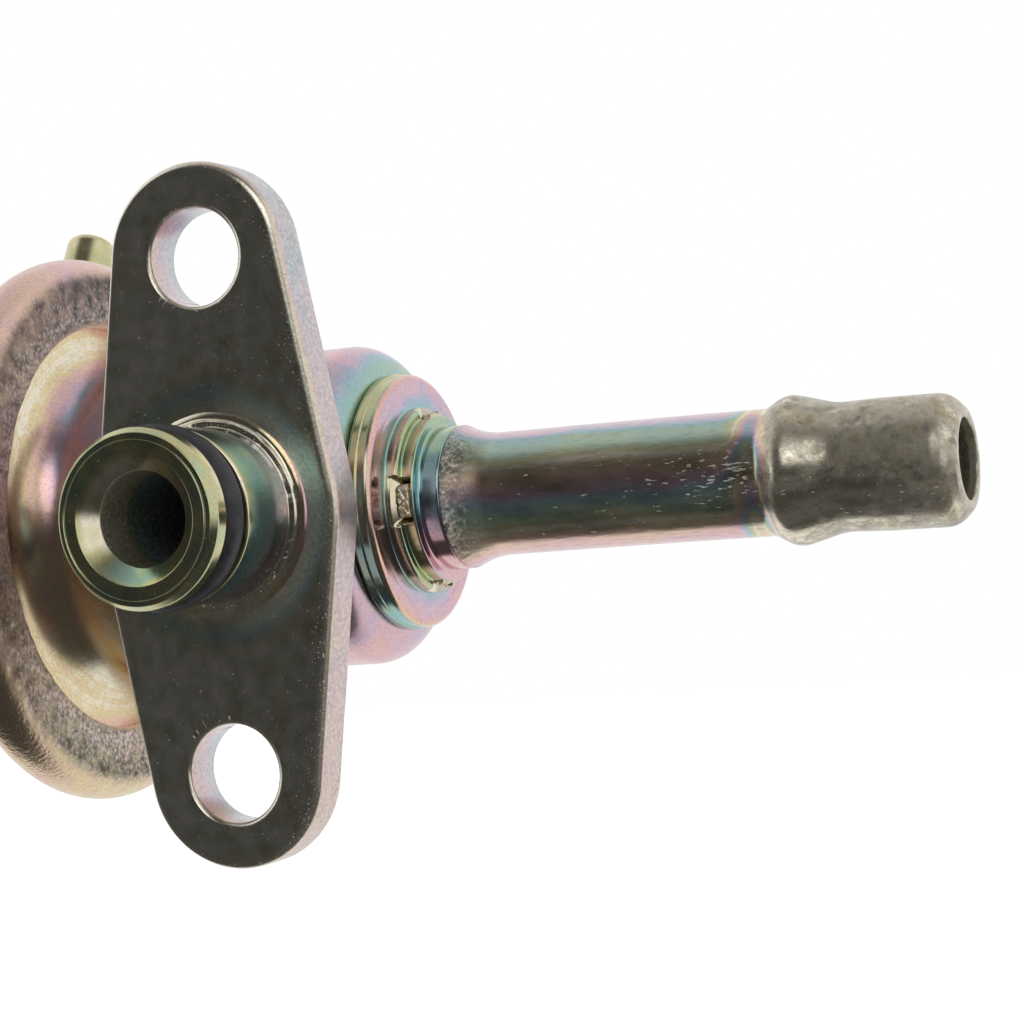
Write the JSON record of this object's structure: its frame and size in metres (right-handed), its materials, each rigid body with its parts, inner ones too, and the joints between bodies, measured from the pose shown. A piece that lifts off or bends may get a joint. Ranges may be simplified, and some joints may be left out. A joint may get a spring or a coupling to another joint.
{
  "type": "fuel pressure regulator",
  "caption": "Diaphragm fuel pressure regulator: crimped round body, two-bolt flange with a sealed inlet spigot, beaded return tube and a vacuum nipple on the spring cup.",
  "frame": {"origin": "centre of the flange's mating face, on the inlet spigot's axis", "axes": "-Y out of the mating face along the inlet spigot, +X along the return tube, +Z along the flange's row of bolt holes"},
  "size_m": [0.0878, 0.0441, 0.0466],
  "materials": {
    "yellow_zinc_steel": "yellow chromated zinc plating",
    "seal_rubber": "matte",
    "diaphragm_rubber": "matte",
    "valve_steel": "turned",
    "spring_wire": "drawn wire"
  },
  "bodies": {
    "housing": {"body_shell": "yellow_zinc_steel", "spring_cover": "yellow_zinc_steel", "vacuum_nipple": "yellow_zinc_steel", "mounting_flange": "yellow_zinc_steel", "inlet_spigot": "yellow_zinc_steel", "inlet_o_ring": "seal_rubber", "return_fitting": "yellow_zinc_steel", "return_tube": "yellow_zinc_steel", "valve_seat": "valve_steel", "diaphragm": "diaphragm_rubber", "main_spring": "spring_wire", "spring_seat": "valve_steel"},
    "valve": {"valve_holder": "valve_steel", "valve_ball": "valve_steel", "ball_spring": "spring_wire", "ball_retainer": "valve_steel", "fuel_side_plate": "valve_steel", "spring_plate": "valve_steel"}
  },
  "joints": [
    {"name": "valve_lift", "type": "slide", "parent": "housing", "child": "valve", "axis": [-1, 0, 0], "range_m": [0, 0.001], "stiffness_N_per_m": 12000, "deforming": ["main_spring", "diaphragm"]}
  ]
}
